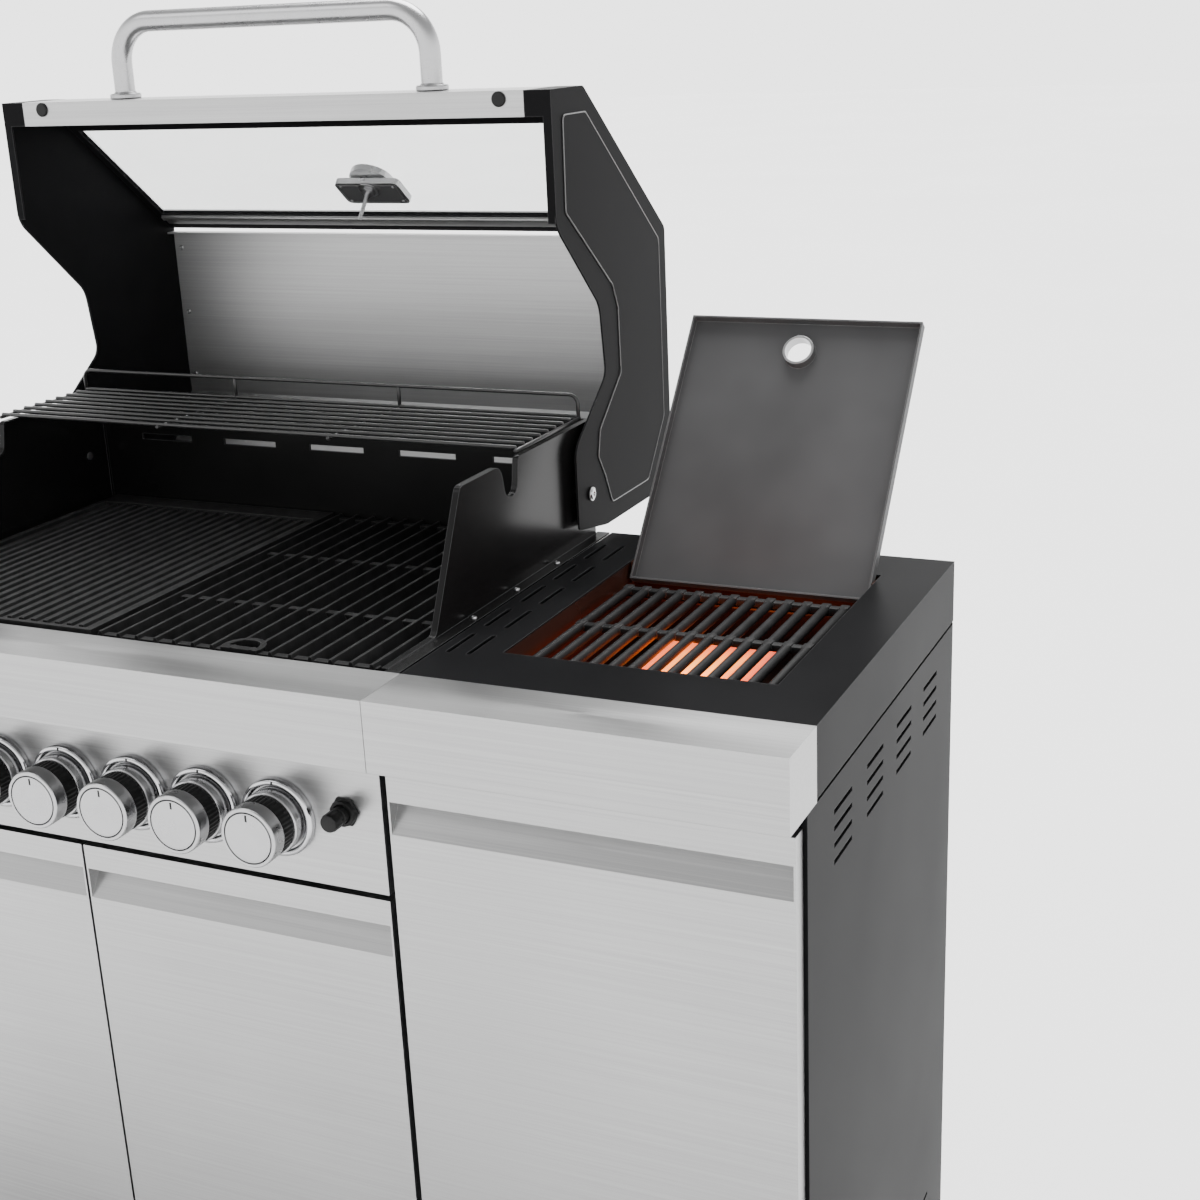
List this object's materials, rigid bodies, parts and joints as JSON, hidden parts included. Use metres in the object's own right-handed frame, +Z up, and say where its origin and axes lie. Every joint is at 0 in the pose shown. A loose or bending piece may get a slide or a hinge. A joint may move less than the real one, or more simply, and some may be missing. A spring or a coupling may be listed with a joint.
{
  "type": "gas barbecue grill",
  "caption": "Free-standing gas barbecue with an open double-skinned hood, cast grates, knobs, cabinet doors and a side burner under a hinged lid.",
  "frame": {"origin": "on the floor under the middle of the bounding box, hood and side lid open", "axes": "+X to the right along the front, +Y to the back, +Z up"},
  "size_m": [1.534, 0.782, 1.5014],
  "materials": {
    "stainless": "brushed stainless sheet",
    "black_paint": "satin black powder coat",
    "enamel": "satin black enamel",
    "cast_iron": "matt black cast iron",
    "chrome": "polished chrome",
    "black_plastic": "matt black",
    "window_glass": "clear heat-proof glass",
    "burner_ceramic": "glowing perforated ceramic",
    "brass": "plain"
  },
  "bodies": {
    "frame": {"side_panel_right": "black_paint", "foot_front_right": "black_plastic", "foot_back_right": "black_plastic", "nose_bay_right": "stainless", "worktop_right": "black_paint", "hood_hinge_pin_right": "stainless", "side_panel_left": "black_paint", "foot_front_left": "black_plastic", "foot_back_left": "black_plastic", "nose_bay_left": "stainless", "worktop_left": "black_paint", "hood_hinge_pin_left": "stainless", "cabinet_base_and_partitions": "black_paint", "back_panel": "black_paint", "nose_main": "stainless", "control_panel": "stainless", "bezel_1": "chrome", "bezel_2": "chrome", "bezel_3": "chrome", "bezel_4": "chrome", "bezel_5": "chrome", "bezel_6": "chrome", "bezel_7": "chrome", "firebox": "enamel", "burner_1": "stainless", "burner_2": "stainless", "burner_3": "stainless", "burner_4": "stainless", "burner_5": "stainless", "burner_6": "stainless", "gas_manifold": "brass", "side_burner_pan": "enamel", "side_burner_body": "stainless", "side_burner_ceramic": "burner_ceramic"},
    "hood": {"hood_side_right": "black_paint", "hood_side_left": "black_paint", "hood_band": "stainless", "window_frame": "black_paint", "hood_window": "window_glass", "thermometer": "stainless", "hood_roof": "stainless", "hood_handle": "stainless"},
    "side_lid": {"side_burner_lid": "black_paint"},
    "door_bay_right": {"bay_door_right": "stainless"},
    "door_bay_left": {"bay_door_left": "stainless"},
    "door_main_right": {"main_door_right": "stainless"},
    "door_main_left": {"main_door_left": "stainless"},
    "igniter": {"ignition_button": "black_plastic"},
    "drip_tray": {"grease_tray": "stainless"},
    "grate_lift": {"grate": "cast_iron"},
    "griddle_lift": {"griddle": "cast_iron"},
    "rack_lift": {"warming_rack": "chrome"},
    "side_grate_lift": {"side_grate": "cast_iron"},
    "dial_1": {"knob_1": "black_plastic"},
    "dial_2": {"knob_2": "black_plastic"},
    "dial_3": {"knob_3": "black_plastic"},
    "dial_4": {"knob_4": "black_plastic"},
    "dial_5": {"knob_5": "black_plastic"},
    "dial_6": {"knob_6": "black_plastic"},
    "dial_7": {"knob_7": "black_plastic"}
  },
  "joints": [
    {"name": "hood_hinge", "type": "hinge", "parent": "frame", "child": "hood", "pos_m": [0, 0.15, 0.962], "axis": [-1, 0, 0], "range_deg": [-90, 0]},
    {"name": "side_lid_hinge", "type": "hinge", "parent": "frame", "child": "side_lid", "pos_m": [0.569, 0.1013, 0.8995], "axis": [-1, 0, 0], "range_deg": [-129.5, 0]},
    {"name": "bay_door_right_hinge", "type": "hinge", "parent": "frame", "child": "door_bay_right", "pos_m": [0.7594, -0.332, 0.455], "axis": [0, 0, 1], "range_deg": [0, 100]},
    {"name": "bay_door_left_hinge", "type": "hinge", "parent": "frame", "child": "door_bay_left", "pos_m": [-0.7594, -0.332, 0.455], "axis": [0, 0, -1], "range_deg": [0, 100]},
    {"name": "main_door_right_hinge", "type": "hinge", "parent": "frame", "child": "door_main_right", "pos_m": [0.36, -0.332, 0.405], "axis": [0, 0, 1], "range_deg": [0, 100]},
    {"name": "main_door_left_hinge", "type": "hinge", "parent": "frame", "child": "door_main_left", "pos_m": [-0.36, -0.332, 0.405], "axis": [0, 0, -1], "range_deg": [0, 100]},
    {"name": "ignition_press", "type": "slide", "parent": "frame", "child": "igniter", "axis": [0, 1, 0], "range_m": [0, 0.006], "stiffness_N_per_m": 400, "springref_m": -0.002},
    {"name": "drip_tray_slide", "type": "slide", "parent": "frame", "child": "drip_tray", "axis": [0, 1, 0], "range_m": [0, 0.42]},
    {"name": "grate_lift_off", "type": "slide", "parent": "frame", "child": "grate_lift", "axis": [0, 0, 1], "range_m": [0, 0.12]},
    {"name": "griddle_lift_off", "type": "slide", "parent": "frame", "child": "griddle_lift", "axis": [0, 0, 1], "range_m": [0, 0.12]},
    {"name": "rack_lift_off", "type": "slide", "parent": "frame", "child": "rack_lift", "axis": [0, 0, 1], "range_m": [0, 0.12]},
    {"name": "side_grate_lift_off", "type": "slide", "parent": "frame", "child": "side_grate_lift", "axis": [0, 0, 1], "range_m": [0, 0.1]},
    {"name": "knob_1_turn", "type": "hinge", "parent": "frame", "child": "dial_1", "pos_m": [-0.261, -0.338, 0.764], "axis": [0, -1, 0], "range_deg": [0, 135]},
    {"name": "knob_2_turn", "type": "hinge", "parent": "frame", "child": "dial_2", "pos_m": [-0.176, -0.338, 0.764], "axis": [0, -1, 0], "range_deg": [0, 135]},
    {"name": "knob_3_turn", "type": "hinge", "parent": "frame", "child": "dial_3", "pos_m": [-0.091, -0.338, 0.764], "axis": [0, -1, 0], "range_deg": [0, 135]},
    {"name": "knob_4_turn", "type": "hinge", "parent": "frame", "child": "dial_4", "pos_m": [-0.006, -0.338, 0.764], "axis": [0, -1, 0], "range_deg": [0, 135]},
    {"name": "knob_5_turn", "type": "hinge", "parent": "frame", "child": "dial_5", "pos_m": [0.079, -0.338, 0.764], "axis": [0, -1, 0], "range_deg": [0, 135]},
    {"name": "knob_6_turn", "type": "hinge", "parent": "frame", "child": "dial_6", "pos_m": [0.164, -0.338, 0.764], "axis": [0, -1, 0], "range_deg": [0, 135]},
    {"name": "knob_7_turn", "type": "hinge", "parent": "frame", "child": "dial_7", "pos_m": [0.249, -0.338, 0.764], "axis": [0, -1, 0], "range_deg": [0, 135]}
  ]
}
